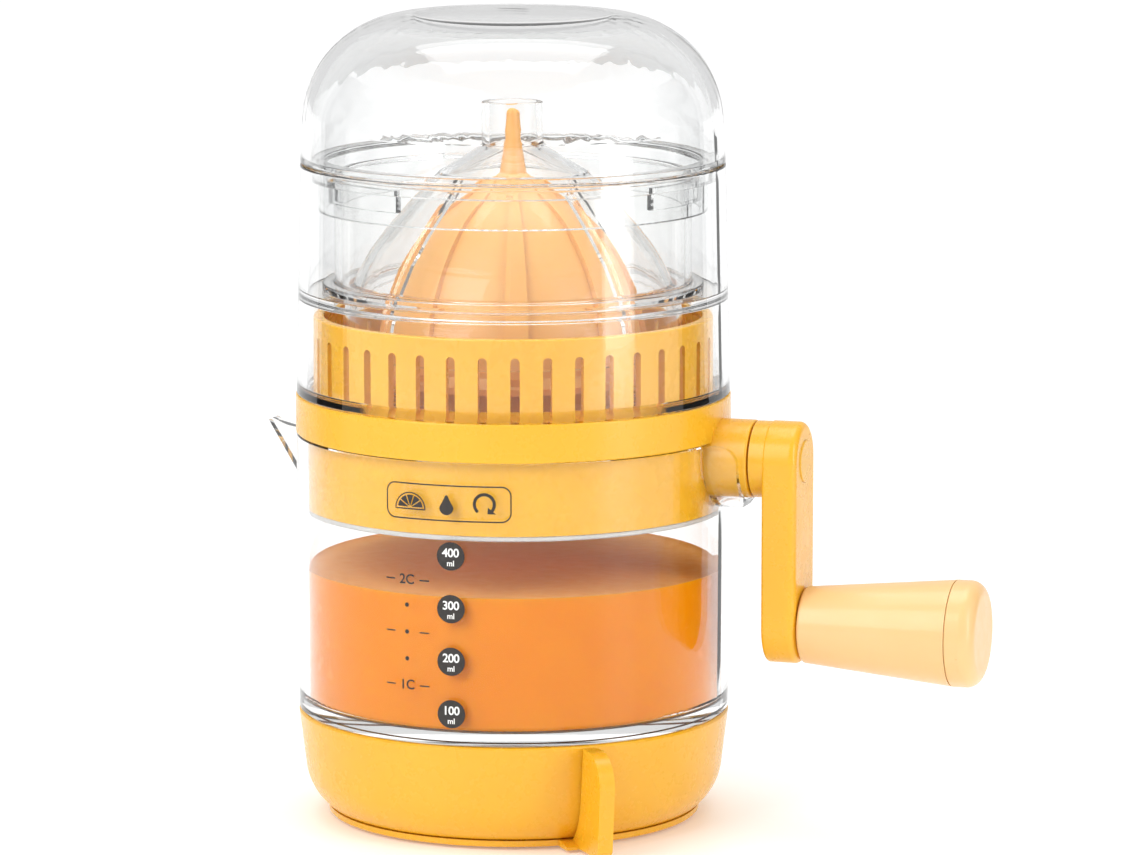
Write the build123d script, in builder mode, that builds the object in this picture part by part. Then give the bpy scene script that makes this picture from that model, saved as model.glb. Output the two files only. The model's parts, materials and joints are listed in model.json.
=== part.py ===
from build123d import *
import os
from math import asin, degrees, radians, sqrt, tan

# Hand-cranked citrus juicer. Millimetres, +Z up. The origin is the centre of the flat
# suction pad on the table. The crank axis runs along +X, the spout points along -X and
# the graduated side of the cup faces -Y.
os.makedirs("parts", exist_ok=True)

# ---------------------------------------------------------------- driving dimensions
running = 0.06          # radial clearance of a shaft that turns in a hole
seat = 0.02             # radial clearance of pieces fitted tight in one another
loose = 0.35            # clearance between nested walls that lift apart
face_gap = 0.1          # gap between faces that rest on one another

# suction base
base_rim_radius = 52.7  # top edge of the base shell
base_top = 26.0
base_foot_radius = 45.4
shell_low = 2.3         # underside of the base shell, above the lever's ring
shell_wall = 2.3
deck_low = 19.0
deck_top = 21.0
pad_radius = 39.4
pad_thick = 2.1
pad_travel = 3.0        # how far the lever draws the middle of the pad up
lever_turn = 60.0       # degrees of lever movement
lever_ring_radius = 45.5
lever_ring_top = 1.9
fin_angle = -52.5       # where the lever's fin stands at rest
fin_thick = 3.75
fin_reach = 64.7
hub_radius = 9.0
stem_radius = 4.7
stem_square = 5.6
cross_pin_radius = 1.2
cross_pin_height = 12.5

# juice cup
cup_low = 26.3
cup_top = 94.3
cup_low_radius = 52.65
cup_top_radius = 52.95
cup_wall = 2.5
cup_floor = 2.6
spout_reach = 62.3
trough_radius = 9.9     # inside of the trough that wraps the crank boss
trough_wall = 2.1
trough_end = 59.7

# drive unit
ring_radius = 53.05
ring_low = 94.5
ring_top = 103.8
skirt_low = 76.7
skirt_radius = 50.0
ledge_top = 99.6        # the strainer and the housing both stand on this ledge
crank_height = 90.0
boss_radius = 9.45
boss_end = 61.3
gearbox_radius = 19.6
gearbox_wall = 2.2
gearbox_low = 78.4
gearbox_top = 103.4
shaft_radius = 3.5
shaft_square = 4.9
bush_radius = 6.0

# bevel gears
module = 1.3
pinion_teeth = 12
crown_teeth = 20
face_width = 4.5
addendum = 1.0
dedendum = 1.35
tooth_slope = 22.0      # flank angle in degrees
backlash = 0.36
spindle_flats = 7.0     # across the flats of the hexagonal output spindle

# crank
crank_throw = 40.0
arm_radius = 9.5
arm_inner = 65.2
arm_thick = 8.4
grip_start = 73.9
grip_split = 111.0
grip_end = 118.0
grip_small = 9.35
grip_large = 12.9
pin_radius = 3.0

# strainer and reamer
strainer_radius = 48.6
strainer_wall = 2.0
strainer_rim = 123.4
slot_count = 40
slot_width = 2.2
ridge_count = 8
ridge_angle = 10         # each ridge's share of the turn, in degrees
ridge_height = 1.5
dome_radius_low = 33.2
dome_half = 45.4         # half height of the ellipse that the dome follows
reamer_low = 107.6
tip_height = 173.3

# housing, press cup and lid
housing_low_radius = 52.85
housing_top_radius = 51.65
housing_top = 159.8
housing_wall = 2.4
shelf_top = 129.4
press_wall = 1.6
collar_radius = 7.4
collar_top = 175.0
press_radius = 43.4
press_top = 158.0
rib_count = 8
lid_low = 160.1
lid_top = 197.2
lid_wall = 2.6
lid_corner = 169.5      # height where the lid's straight side turns into the dome

crank_axis = Axis((0, 0, crank_height), (1, 0, 0))
grip_height = crank_height - crank_throw
grip_axis = Axis((0, 0, grip_height), (1, 0, 0))
front = Plane.XZ        # radius and height: every round piece is turned from here


def across(x):
    """Plane square to the crank axis at x: local x is +Y, local y is +Z."""
    return Plane(origin=(x, 0, 0), x_dir=(0, 1, 0), z_dir=(1, 0, 0))


# ---------------------------------------------------------------- base shell
rim_inner = base_rim_radius - shell_wall
with BuildPart() as base_shell:
    with BuildSketch(front):
        with BuildLine():
            a = Line((0, base_top - 0.6), (6.4, base_top - 0.6))
            b = Line(a @ 1, (7.0, base_top - 1.2))
            c = Line(b @ 1, (7.0, deck_top))
            d = Line(c @ 1, (rim_inner - 0.5, deck_top))
            e = Line(d @ 1, (rim_inner, base_top))
            f = Line(e @ 1, (base_rim_radius - 0.5, base_top))
            g = Line(f @ 1, (base_rim_radius, base_top - 0.5))
            h = Line(g @ 1, (51.1, 12.5))
            i = ThreePointArc(h @ 1, (49.3, 6.7), (base_foot_radius, shell_low))
            j = Line(i @ 1, (base_foot_radius - shell_wall, shell_low))
            k = ThreePointArc(j @ 1, (47.0, 7.6), (48.8, 12.9))
            m = Line(k @ 1, (49.3, deck_low))
            n = Line(m @ 1, (11.2, deck_low))
            o = Line(n @ 1, (11.2, 14.6))
            p = Line(o @ 1, (hub_radius + running, 14.6))
            q = Line(p @ 1, (hub_radius + running, deck_low))
            r = Line(q @ 1, (0, deck_low))
            Line(r @ 1, a @ 0)
        make_face()
    revolve(axis=Axis.Z)
    # blind square guide that keeps the pad's stem from turning
    with BuildSketch(Plane.XY.offset(deck_low)):
        Rectangle(stem_square + 0.3, stem_square + 0.3)
    extrude(amount=5.2, mode=Mode.SUBTRACT)
    # posts for the keeper's screws
    with BuildSketch(Plane.XY.offset(9.4)):
        with PolarLocations(23.5, 3, start_angle=90):
            Circle(3.2)
    extrude(amount=deck_low - 9.4 + 0.2)
    with BuildSketch(Plane.XY.offset(9.4)):
        with PolarLocations(23.5, 3, start_angle=90):
            Circle(1.5)
    extrude(amount=7.5, mode=Mode.SUBTRACT)

# ---------------------------------------------------------------- suction lever
slot_steps = 12
with BuildPart() as suction_lever:
    with BuildSketch(front):
        with BuildLine():
            Polyline((40.4, 0.4), (lever_ring_radius - 0.3, 0.4), (lever_ring_radius, 0.7),
                     (lever_ring_radius, lever_ring_top), (42.4, lever_ring_top),
                     (42.4, 5.0), (42.4, 12.0), (40.4, 12.0), close=True)
        make_face()
    revolve(axis=Axis.Z)
    # hub that turns in the deck's guide sleeve
    with BuildSketch(Plane.XY.offset(9.5)):
        Circle(hub_radius)
    extrude(amount=18.4 - 9.5)
    # three spokes from the hub to the ring's wall
    with BuildSketch(Plane.XY.offset(9.5)):
        with PolarLocations(25.0, 3):
            Rectangle(33.0, 7.0)
    extrude(amount=2.5)
    # finger fin outside the shell, with a tongue that joins it to the ring
    fin_plane = Plane(origin=(0, 0, 0), x_dir=Vector(1, 0, 0).rotate(Axis.Z, fin_angle),
                      z_dir=Vector(0, -1, 0).rotate(Axis.Z, fin_angle))
    with BuildSketch(fin_plane) as fin_sketch:
        with BuildLine():
            a = Line((44.4, 0.4), (62.0, 0.9))
            b = Line(a @ 1, (63.2, 2.2))
            c = Line(b @ 1, (fin_reach, 17.5))
            d = ThreePointArc(c @ 1, (62.4, 23.2), (56.9, 25.5))
            e = Line(d @ 1, (53.3, 25.5))
            f = Line(e @ 1, (51.7, 12.6))
            g = ThreePointArc(f @ 1, (50.0, 6.8), (46.3, lever_ring_top + 0.1))
            Line(g @ 1, (44.4, lever_ring_top))
            Line((44.4, lever_ring_top), a @ 0)
        make_face()
    extrude(amount=fin_thick / 2, both=True)
    with BuildSketch(fin_plane):
        with BuildLine():
            Polyline((44.4, 0.4), (50.5, 0.4), (50.5, 1.1), (46.2, lever_ring_top),
                     (44.4, lever_ring_top), close=True)
        make_face()
    extrude(amount=5.0, both=True)
    # bore for the stem, and the two steep slots that lift its cross pin
    with BuildSketch(Plane.XY.offset(9.0)):
        Circle(stem_radius + running)
    extrude(amount=12, mode=Mode.SUBTRACT)
    for step in range(slot_steps + 1):
        part_turn = step / slot_steps
        height = cross_pin_height + pad_travel * part_turn
        direction = Vector(1, 0, 0).rotate(Axis.Z, -lever_turn * part_turn)
        slot_plane = Plane(origin=Vector(0, 0, height) - direction * 12, z_dir=direction)
        with BuildSketch(slot_plane):
            Circle(cross_pin_radius + 0.3)
        extrude(amount=24, mode=Mode.SUBTRACT)

# ---------------------------------------------------------------- keeper under the lever
with BuildPart() as lever_keeper:
    with BuildSketch(Plane.XY.offset(7.9)):
        Circle(27.2)
        Circle(19.8, mode=Mode.SUBTRACT)
        with PolarLocations(23.5, 3, start_angle=90):
            Circle(1.6, mode=Mode.SUBTRACT)
    extrude(amount=1.4)
    chamfer(lever_keeper.edges().filter_by(GeomType.CIRCLE).sort_by(SortBy.RADIUS)[-2:], 0.3)

keeper_screws = []
for number in range(3):
    angle = 90 + 120 * number
    spot = Vector(23.5, 0, 0).rotate(Axis.Z, angle)
    with BuildPart() as keeper_screw:
        with BuildSketch(Plane(origin=(spot.X, spot.Y, 6.4))):
            Circle(2.8)
        extrude(amount=1.45)
        fillet(keeper_screw.edges().group_by(Axis.Z)[0], 0.5)
        with BuildSketch(Plane(origin=(spot.X, spot.Y, 6.4), x_dir=(1, 0.4, 0))):
            Rectangle(3.2, 0.7)
            Rectangle(0.7, 3.2)
        extrude(amount=0.8, mode=Mode.SUBTRACT)
        with BuildSketch(Plane(origin=(spot.X, spot.Y, 7.8))):
            Circle(1.5 - seat)
        extrude(amount=7.8)
    keeper_screws.append(keeper_screw.part)

# ---------------------------------------------------------------- pad, its core and pin
with BuildPart() as suction_pad:
    with BuildSketch(front):
        with BuildLine():
            Polyline((0, 0), (pad_radius, 0), (pad_radius, 0.7), (34.0, pad_thick),
                     (0, pad_thick), close=True)
        make_face()
    revolve(axis=Axis.Z)

with BuildPart() as pad_core:
    with BuildSketch(Plane.XY.offset(pad_thick + 0.05)):
        Circle(18.0)
    extrude(amount=2.4)
    chamfer(pad_core.edges().group_by(Axis.Z)[-1], 0.6)
    with BuildSketch(Plane.XY.offset(pad_thick + 0.2)):
        with PolarLocations(10.0, 6):
            Rectangle(12.0, 1.6)
    extrude(amount=4.2)
    with BuildSketch(Plane.XY.offset(pad_thick + 0.2)):
        Circle(stem_radius)
    extrude(amount=15.6 - pad_thick)
    with BuildSketch(Plane.XY.offset(15.6)):
        Rectangle(stem_square, stem_square)
    extrude(amount=5.1)
    with BuildSketch(Plane(origin=(-6, 0, cross_pin_height), z_dir=(1, 0, 0))):
        Circle(cross_pin_radius + seat)
    extrude(amount=12, mode=Mode.SUBTRACT)

with BuildPart() as cross_pin:
    with BuildSketch(Plane(origin=(-8.6, 0, cross_pin_height), z_dir=(1, 0, 0))):
        Circle(cross_pin_radius)
    extrude(amount=17.2)
    chamfer(cross_pin.edges().filter_by(GeomType.CIRCLE), 0.25)

# silicone ring that the cup's foot stands on
with BuildPart() as well_ring:
    with BuildSketch(front) as profile:
        with Locations((46.5, deck_top + 0.65)):
            Rectangle(3.6, 1.2)
        fillet(profile.vertices(), 0.3)
    revolve(axis=Axis.Z)

# ---------------------------------------------------------------- juice cup
# trough: a clear half-pipe that wraps the underside of the crank boss
trough_outer = trough_radius + trough_wall
with BuildPart() as trough:
    with BuildSketch(across(49.0)):
        with Locations((0, crank_height)):
            Circle(trough_outer)
        with Locations((0, crank_height + 6)):
            Rectangle(2 * trough_outer, 12)
    extrude(amount=trough_end - 49.0)
    with BuildSketch(front):
        with BuildLine():
            a = Line((48.0, 70.0), (55.5, 76.5))
            b = Line(a @ 1, (trough_end - 0.6, 78.5))
            c = Line(b @ 1, (trough_end, 80.0))
            d = Line(c @ 1, (trough_end, cup_top - 4.6))
            e = ThreePointArc(d @ 1, (trough_end - 1.4, cup_top - 1.35), (trough_end - 4.6, cup_top))
            f = Line(e @ 1, (48.0, cup_top))
            Line(f @ 1, a @ 0)
        make_face()
    extrude(amount=20, both=True, mode=Mode.INTERSECT)

with BuildPart() as juice_cup:
    with BuildSketch(front):
        with BuildLine():
            Polyline((0, cup_low), (45.5, cup_low), (45.5, 22.5), (47.5, 22.5), (47.5, cup_low),
                     (cup_low_radius - 0.4, cup_low), (cup_low_radius, cup_low + 0.4),
                     (cup_top_radius, cup_top - 0.3), (cup_top_radius - 0.3, cup_top),
                     (0, cup_top), close=True)
        make_face()
    revolve(axis=Axis.Z)
    add(trough.part)
    # spout: a beak that narrows downwards
    with BuildSketch(Plane.XY.offset(cup_top)) as beak_top:
        Polygon((-49.0, -13.5), (-51.5, -12.8), (-spout_reach, -3.2), (-spout_reach, 3.2),
                (-51.5, 12.8), (-49.0, 13.5), align=None)
    with BuildSketch(Plane.XY.offset(79.8)) as beak_low:
        Polygon((-49.0, -6.0), (-51.5, -5.4), (-54.4, -1.6), (-54.4, 1.6), (-51.5, 5.4),
                (-49.0, 6.0), align=None)
    loft(ruled=True)
    # hollow inside, with a rounded corner at the floor
    with BuildSketch(front):
        with BuildLine():
            floor = cup_low + cup_floor
            low_in = cup_low_radius - cup_wall
            a = Line((0, floor), (low_in - 2.0, floor))
            b = ThreePointArc(a @ 1, (low_in - 0.59, floor + 0.59), (low_in, floor + 2.0))
            c = Line(b @ 1, (cup_top_radius - cup_wall, cup_top + 1))
            d = Line(c @ 1, (0, cup_top + 1))
            Line(d @ 1, a @ 0)
        make_face()
    revolve(axis=Axis.Z, mode=Mode.SUBTRACT)
    # inside of the trough, open upwards
    with BuildSketch(across(44.0)):
        with Locations((0, crank_height)):
            Circle(trough_radius)
        with Locations((0, crank_height + 10)):
            Rectangle(2 * trough_radius, 20)
    extrude(amount=20, mode=Mode.SUBTRACT)
    # inside of the spout
    with BuildSketch(Plane.XY.offset(cup_top + 0.01)):
        Polygon((-44.0, -10.9), (-50.9, -10.5), (-spout_reach + 1.9, -2.0),
                (-spout_reach + 1.9, 2.0), (-50.9, 10.5), (-44.0, 10.9), align=None)
    with BuildSketch(Plane.XY.offset(82.0)):
        Polygon((-44.0, -4.4), (-50.2, -4.0), (-52.6, -1.0), (-52.6, 1.0), (-50.2, 4.0),
                (-44.0, 4.4), align=None)
    loft(ruled=True, mode=Mode.SUBTRACT)

# ---------------------------------------------------------------- drive housing
bore_start = gearbox_radius - gearbox_wall - 1.0
spoke_angles = (90, 145, 215, 270)
cover_screw_ring = gearbox_radius + 1.8
with BuildPart() as drive_housing:
    with BuildSketch(front) as profile:
        with BuildLine():
            Polyline((skirt_radius - 2.2, skirt_low), (skirt_radius, skirt_low),
                     (skirt_radius, ring_low), (ring_radius, ring_low),
                     (ring_radius - 0.05, ring_top), (ring_radius - 1.35, ring_top),
                     (ring_radius - 1.35, ledge_top), (45.6, ledge_top),
                     (45.6, ledge_top - 2.6), (skirt_radius - 2.2, 92.4), close=True)
        make_face()
        fillet(profile.vertices().filter_by_position(Axis.X, 51.0, 60.0), 0.35)
    revolve(axis=Axis.Z)
    # spokes that carry the gearbox
    for angle in spoke_angles:
        middle = Vector(33.0, 0, 0).rotate(Axis.Z, angle)
        spoke_plane = Plane(origin=(middle.X, middle.Y, 86.0),
                            x_dir=Vector(1, 0, 0).rotate(Axis.Z, angle))
        with BuildSketch(spoke_plane):
            Rectangle(30.4, 3.0)
        extrude(amount=ledge_top - 86.0)
    # gearbox, its screw posts and the boss that the crank shaft runs through
    with BuildSketch(Plane.XY.offset(gearbox_low)):
        Circle(gearbox_radius)
    extrude(amount=gearbox_top - gearbox_low)
    with BuildSketch(Plane.XY.offset(gearbox_low)):
        with PolarLocations(cover_screw_ring, 3, start_angle=60):
            Circle(3.3)
    extrude(amount=13.0)
    with BuildSketch(across(bore_start)):
        with Locations((0, crank_height)):
            Circle(boss_radius)
    extrude(amount=boss_end - bore_start)
    # gear chamber, a pocket for the pinion's back, bearing hole for the crown gear's hub,
    # and shaft bore
    with BuildSketch(Plane.XY.offset(gearbox_low)):
        Circle(gearbox_radius - gearbox_wall)
    extrude(amount=gearbox_top - 2.0 - gearbox_low, mode=Mode.SUBTRACT)
    with BuildSketch(across(8.0)):
        with Locations((0, crank_height)):
            Circle(7.7)
    extrude(amount=bore_start + 0.8 - 8.0, mode=Mode.SUBTRACT)
    with BuildSketch(Plane.XY.offset(gearbox_low)):
        Circle(6.0 + running)
    extrude(amount=30, mode=Mode.SUBTRACT)
    with BuildSketch(across(bore_start - 2.0)):
        with Locations((0, crank_height)):
            Circle(bush_radius)
    extrude(amount=60, mode=Mode.SUBTRACT)
    with BuildSketch(Plane.XY.offset(gearbox_low)):
        with PolarLocations(cover_screw_ring, 3, start_angle=60):
            Circle(1.5)
    extrude(amount=11.0, mode=Mode.SUBTRACT)
    # window in the skirt, so that juice reaches the spout
    with BuildSketch(Plane(origin=(-54, 0, 87.0), x_dir=(0, 1, 0), z_dir=(1, 0, 0))):
        RectangleRounded(17.0, 12.6, 2.5)
    extrude(amount=10, mode=Mode.SUBTRACT)
    fillet(drive_housing.edges().filter_by(GeomType.CIRCLE).sort_by(Axis.X)[-1], 0.5)

# ---------------------------------------------------------------- gearbox cover and screws
with BuildPart() as gearbox_cover:
    with BuildSketch(Plane.XY.offset(gearbox_low - 1.7)):
        Circle(gearbox_radius)
        with PolarLocations(cover_screw_ring, 3, start_angle=60):
            Circle(3.3)
        with PolarLocations(cover_screw_ring, 3, start_angle=60):
            Circle(1.6, mode=Mode.SUBTRACT)
    extrude(amount=1.65)
    with BuildSketch(Plane.XY.offset(gearbox_low - 0.3)):
        Circle(gearbox_radius - gearbox_wall - 0.1)
        Circle(gearbox_radius - gearbox_wall - 1.6, mode=Mode.SUBTRACT)
    extrude(amount=1.1)

cover_screws = []
for number in range(3):
    spot = Vector(cover_screw_ring, 0, 0).rotate(Axis.Z, 60 + 120 * number)
    with BuildPart() as cover_screw:
        with BuildSketch(Plane(origin=(spot.X, spot.Y, gearbox_low - 3.2))):
            Circle(2.7)
        extrude(amount=1.45)
        fillet(cover_screw.edges().group_by(Axis.Z)[0], 0.5)
        with BuildSketch(Plane(origin=(spot.X, spot.Y, gearbox_low - 3.2))):
            Rectangle(3.0, 0.7)
            Rectangle(0.7, 3.0)
        extrude(amount=0.8, mode=Mode.SUBTRACT)
        with BuildSketch(Plane(origin=(spot.X, spot.Y, gearbox_low - 1.8))):
            Circle(1.5 - seat)
        extrude(amount=11.0)
    cover_screws.append(cover_screw.part)

# ---------------------------------------------------------------- seal under the skirt
with BuildPart() as skirt_seal:
    with BuildSketch(front) as profile:
        with Locations((skirt_radius - 1.05, skirt_low - 0.65)):
            Rectangle(2.2, 1.2)
        fillet(profile.vertices(), 0.3)
    revolve(axis=Axis.Z)

# ---------------------------------------------------------------- shaft bushes
bush_names = ("inner_bush", "outer_bush")
bush_starts = (gearbox_radius - gearbox_wall, 51.0)
bush_ends = (26.0, boss_end - 0.15)
bushes = []
for start, end in zip(bush_starts, bush_ends):
    with BuildPart() as bush:
        with BuildSketch(across(start)):
            with Locations((0, crank_height)):
                Circle(bush_radius - seat)
                Circle(shaft_radius + running, mode=Mode.SUBTRACT)
        extrude(amount=end - start)
    bushes.append(bush.part)

# ---------------------------------------------------------------- drive shaft
shaft_in = gearbox_radius - gearbox_wall - 0.2
with BuildPart() as drive_shaft:
    with BuildSketch(across(shaft_in)):
        with Locations((0, crank_height)):
            Circle(shaft_radius)
    extrude(amount=61.6 - shaft_in)
    with BuildSketch(across(8.6)):
        with Locations((0, crank_height)):
            Rectangle(shaft_square, shaft_square)
    extrude(amount=70.4 - 8.6)
    with BuildSketch(across(60.0)):
        with Locations((0, crank_height)):
            Circle(1.5)
    extrude(amount=12, mode=Mode.SUBTRACT)

# ---------------------------------------------------------------- bevel gears
pinion_pitch = module * pinion_teeth / 2
crown_pitch = module * crown_teeth / 2
cone = sqrt(pinion_pitch ** 2 + crown_pitch ** 2)
inner_scale = (cone - face_width) / cone
half_tooth = module * 3.14159265 / 4 - backlash / 2
slope = tan(radians(tooth_slope))


def bevel_tooth(own_pitch, axial):
    """One straight bevel tooth, with the gear's axis on Z and the cone's apex at the
    origin. The flanks are flat and shrink towards the apex."""
    along = Vector(own_pitch, 0, axial).normalized()
    root = dedendum + 0.3
    with BuildPart() as tooth:
        for scale in (inner_scale, 1.0):
            tooth_plane = Plane(origin=Vector(own_pitch, 0, axial) * scale,
                                x_dir=(0, 1, 0), z_dir=along)
            tip_half = (half_tooth - addendum * slope) * scale
            root_half = (half_tooth + root * slope) * scale
            with BuildSketch(tooth_plane):
                Polygon((-tip_half, -addendum * scale), (tip_half, -addendum * scale),
                        (root_half, root * scale), (-root_half, root * scale), align=None)
        loft(ruled=True)
    return tooth.part


def root_point(own_pitch, axial, scale):
    """Root of the tooth space in the axial plane: radius and distance from the apex."""
    return (scale * (own_pitch - dedendum * axial / cone),
            scale * (axial + dedendum * own_pitch / cone))


crown_tooth = bevel_tooth(crown_pitch, pinion_pitch)
pinion_tooth = bevel_tooth(pinion_pitch, crown_pitch)

with BuildPart() as crown_gear:
    low = root_point(crown_pitch, pinion_pitch, inner_scale)
    high = root_point(crown_pitch, pinion_pitch, 1.0)
    with BuildSketch(front):
        with BuildLine():
            Polyline((0, crank_height + 4.6), (6.4, crank_height + 4.6),
                     (low[0], crank_height + low[1]), (high[0], crank_height + high[1]),
                     (13.6, crank_height + 9.5), (13.6, crank_height + 10.8),
                     (6.0, crank_height + 10.8), (6.0, gearbox_top), (0, gearbox_top),
                     close=True)
        make_face()
    revolve(axis=Axis.Z)
    with Locations((0, 0, crank_height)):
        with PolarLocations(0, crown_teeth):
            add(crown_tooth)
    with BuildSketch(Plane.XY.offset(crank_height)):
        RegularPolygon(spindle_flats / 2 + seat, 6, major_radius=False)
    extrude(amount=30, mode=Mode.SUBTRACT)

with BuildPart() as bevel_pinion:
    low = root_point(pinion_pitch, crown_pitch, inner_scale)
    high = root_point(pinion_pitch, crown_pitch, 1.0)
    with BuildSketch(front):
        with BuildLine():
            Polyline((8.4, crank_height), (8.4, crank_height + 4.3),
                     (low[1], crank_height + low[0]), (high[1], crank_height + high[0]),
                     (14.6, crank_height + 7.1), (16.7, crank_height + 7.1),
                     (16.7, crank_height), close=True)
        make_face()
    revolve(axis=crank_axis)
    with Locations(Plane(origin=(0, 0, crank_height), x_dir=(0, 0, 1), z_dir=(1, 0, 0))):
        with PolarLocations(0, pinion_teeth, start_angle=180 / pinion_teeth):
            add(pinion_tooth)
    with BuildSketch(across(0)):
        with Locations((0, crank_height)):
            Rectangle(shaft_square + 2 * seat, shaft_square + 2 * seat)
    extrude(amount=20, mode=Mode.SUBTRACT)

with BuildPart() as thrust_washer:
    with BuildSketch(Plane.XY.offset(crank_height + 10.85)):
        Circle(10.5)
        Circle(6.3, mode=Mode.SUBTRACT)
    extrude(amount=0.45)

with BuildPart() as output_spindle:
    with BuildSketch(Plane.XY.offset(crank_height + 4.8)):
        RegularPolygon(spindle_flats / 2, 6, major_radius=False)
    extrude(amount=118.0 - crank_height - 4.8)
    chamfer(output_spindle.edges().group_by(Axis.Z)[-1], 0.6)

# ---------------------------------------------------------------- crank
arm_outer = arm_inner + arm_thick
with BuildPart() as crank_arm:
    with BuildSketch(across(arm_inner)):
        with Locations((0, crank_height), (0, grip_height)):
            Circle(arm_radius)
        with Locations((0, crank_height - crank_throw / 2)):
            Rectangle(2 * arm_radius, crank_throw)
    extrude(amount=arm_thick)
    fillet(crank_arm.edges().group_by(Axis.X)[-1], 1.8)
    fillet(crank_arm.edges().group_by(Axis.X)[0], 0.8)
    with BuildSketch(across(boss_end + 0.5)):
        with Locations((0, crank_height)):
            Circle(boss_radius - 0.15)
    extrude(amount=arm_inner - boss_end)
    # square socket for the shaft, screw hole and recess for the cap
    with BuildSketch(across(60.0)):
        with Locations((0, crank_height)):
            Rectangle(shaft_square + 2 * seat, shaft_square + 2 * seat)
    extrude(amount=10.6, mode=Mode.SUBTRACT)
    with BuildSketch(across(60.0)):
        with Locations((0, crank_height)):
            Circle(1.7)
    extrude(amount=20, mode=Mode.SUBTRACT)
    with BuildSketch(across(71.5)):
        with Locations((0, crank_height)):
            Circle(5.2)
    extrude(amount=5, mode=Mode.SUBTRACT)
    with BuildSketch(across(66.0)):
        with Locations((0, grip_height)):
            Circle(pin_radius + seat)
    extrude(amount=10, mode=Mode.SUBTRACT)

with BuildPart() as crank_screw:
    with BuildSketch(across(71.5)):
        with Locations((0, crank_height)):
            Circle(3.0)
    extrude(amount=1.5)
    fillet(crank_screw.edges().group_by(Axis.X)[-1], 0.4)
    with BuildSketch(across(64.0)):
        with Locations((0, crank_height)):
            Circle(1.5 - seat)
    extrude(amount=7.6)

with BuildPart() as crank_cap:
    with BuildSketch(across(73.1)):
        with Locations((0, crank_height)):
            Circle(5.2 - 0.1)
    extrude(amount=0.8)
    fillet(crank_cap.edges().group_by(Axis.X)[-1], 0.35)

with BuildPart() as grip_pin:
    with BuildSketch(across(66.2)):
        with Locations((0, grip_height)):
            Circle(pin_radius)
    extrude(amount=111.4 - 66.2)
    with BuildSketch(across(109.9)):
        with Locations((0, grip_height)):
            Circle(4.6)
    extrude(amount=1.5)
    chamfer(grip_pin.edges().group_by(Axis.X)[-1], 0.3)

with BuildPart() as grip_sleeve:
    with BuildSketch(front):
        with BuildLine():
            a = Line((grip_start, grip_height + pin_radius + running),
                     (grip_start, grip_height + grip_small - 0.9))
            b = ThreePointArc(a @ 1, (grip_start + 0.27, grip_height + grip_small - 0.25),
                              (grip_start + 0.9, grip_height + grip_small))
            c = Line(b @ 1, (grip_split, grip_height + grip_large - 0.05))
            d = Line(c @ 1, (grip_split, grip_height + 8.0))
            e = Line(d @ 1, (106.2, grip_height + 8.0))
            f = Line(e @ 1, (106.2, grip_height + 5.2))
            g = Line(f @ 1, (109.6, grip_height + 5.2))
            h = Line(g @ 1, (109.6, grip_height + pin_radius + running))
            Line(h @ 1, a @ 0)
        make_face()
    revolve(axis=grip_axis)

with BuildPart() as grip_cap:
    with BuildSketch(front):
        with BuildLine():
            a = Line((grip_end, grip_height), (grip_end, grip_height + grip_large - 3.6))
            b = ThreePointArc(a @ 1, (grip_end - 1.05, grip_height + grip_large - 1.05),
                              (grip_end - 3.6, grip_height + grip_large))
            c = Line(b @ 1, (grip_split + 0.35, grip_height + grip_large))
            d = Line(c @ 1, (grip_split + 0.1, grip_height + grip_large - 0.25))
            e = Line(d @ 1, (grip_split + 0.1, grip_height + 7.9))
            f = Line(e @ 1, (106.6, grip_height + 7.9))
            g = Line(f @ 1, (106.6, grip_height + 6.3))
            h = Line(g @ 1, (112.6, grip_height + 6.3))
            i = Line(h @ 1, (112.6, grip_height))
            Line(i @ 1, a @ 0)
        make_face()
    revolve(axis=grip_axis)

# ---------------------------------------------------------------- strainer
# tool for one upright slot with round ends
slot_low = 103.0
slot_high = 119.1
with BuildPart() as slot_tool:
    with BuildSketch(across(strainer_radius - 6.0)):
        with Locations((0, (slot_low + slot_high) / 2)):
            SlotOverall(slot_high - slot_low, slot_width, rotation=90)
    extrude(amount=10)

strainer_low = ledge_top + face_gap
with BuildPart() as strainer_basket:
    with BuildSketch(front) as profile:
        with BuildLine():
            Polyline((6.8, 104.6), (22.6, 104.6), (22.6, strainer_low),
                     (strainer_radius, strainer_low), (strainer_radius, strainer_rim),
                     (strainer_radius - 2.5, strainer_rim), (strainer_radius - 2.5, 121.8),
                     (strainer_radius - strainer_wall, 120.8),
                     (strainer_radius - strainer_wall, strainer_low + 2.0),
                     (24.6, strainer_low + 2.0), (24.6, 106.5), (6.8, 106.5), close=True)
        make_face()
        fillet(profile.vertices(), 0.35)
    revolve(axis=Axis.Z)
    with PolarLocations(0, slot_count):
        add(slot_tool.part, mode=Mode.SUBTRACT)
    # drain slots in the floor
    with BuildSketch(Plane.XY.offset(strainer_low - 1)):
        with PolarLocations(35.5, 36, start_angle=5):
            SlotOverall(16.0, 1.8)
    extrude(amount=5, mode=Mode.SUBTRACT)
    # lugs that straddle two spokes, so that the strainer can't turn
    with BuildSketch(Plane.XY.offset(strainer_low - 3.4)):
        with Locations((3.5, 43.4), (-3.5, 43.4), (3.5, -43.4), (-3.5, -43.4)):
            Rectangle(3.0, 2.8)
    extrude(amount=3.8)

# ---------------------------------------------------------------- reamer
def dome(inset):
    """Points up the reamer's dome, an upright half ellipse, drawn in by inset from the
    tops of the ridges."""
    points = []
    for height in (111.6, 118.5, 125.5, 131.5, 137.5, 142.8, 147.4, 151.0):
        radius = dome_radius_low * sqrt(1 - ((height - 109.0) / dome_half) ** 2)
        points.append((radius - inset, height))
    return points


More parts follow.
